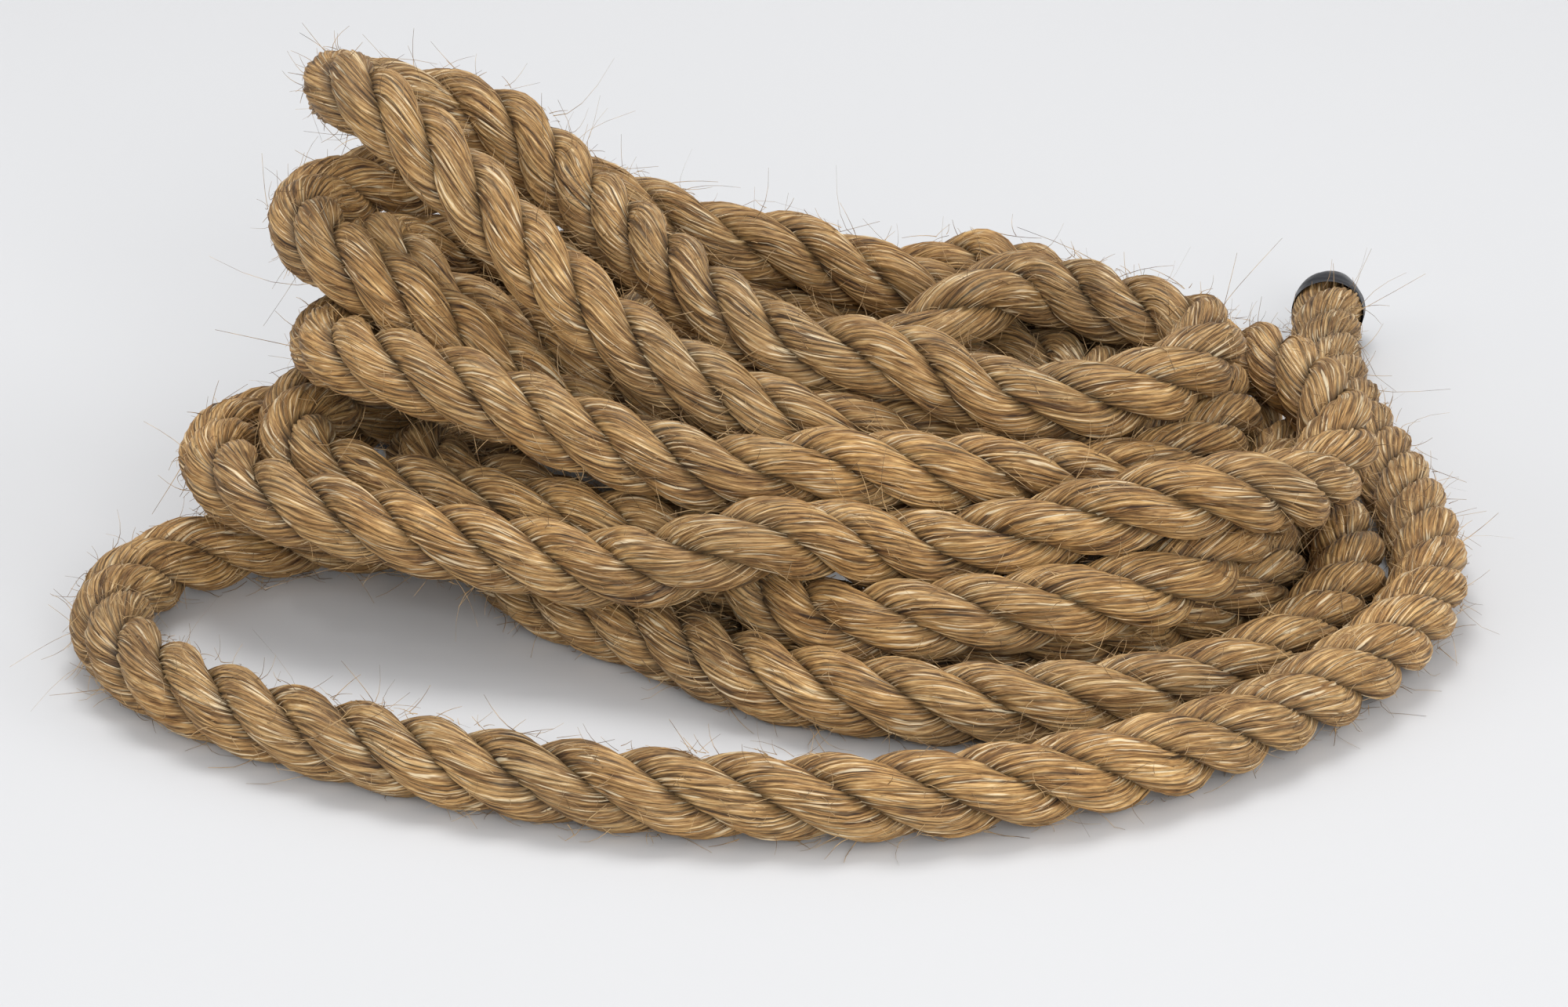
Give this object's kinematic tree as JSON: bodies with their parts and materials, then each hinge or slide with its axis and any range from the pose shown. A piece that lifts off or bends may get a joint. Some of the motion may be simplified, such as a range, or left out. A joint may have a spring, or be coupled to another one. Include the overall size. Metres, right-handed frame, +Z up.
{
  "type": "coiled dock line",
  "caption": "Dock line of three-strand natural fibre rope, laid down in a loose coil with one outer turn and a taped tail.",
  "frame": {"origin": "middle of the footprint, on the surface that the coil lies on", "axes": "+Z up out of the surface; +X towards the side of the taped tail; +Y towards the side that the tail points to"},
  "size_m": [0.4209, 0.419, 0.1562],
  "materials": {
    "natural_fibre": "matte",
    "end_tape": "satin"
  },
  "bodies": {
    "root": {"loose_turn": "natural_fibre", "tail_tape": "end_tape", "coil_pile": "natural_fibre", "low_bights": "natural_fibre", "middle_bights": "natural_fibre", "upper_bight": "natural_fibre", "top_bight": "natural_fibre", "inner_tail": "natural_fibre", "inner_tape": "end_tape"}
  },
  "joints": []
}
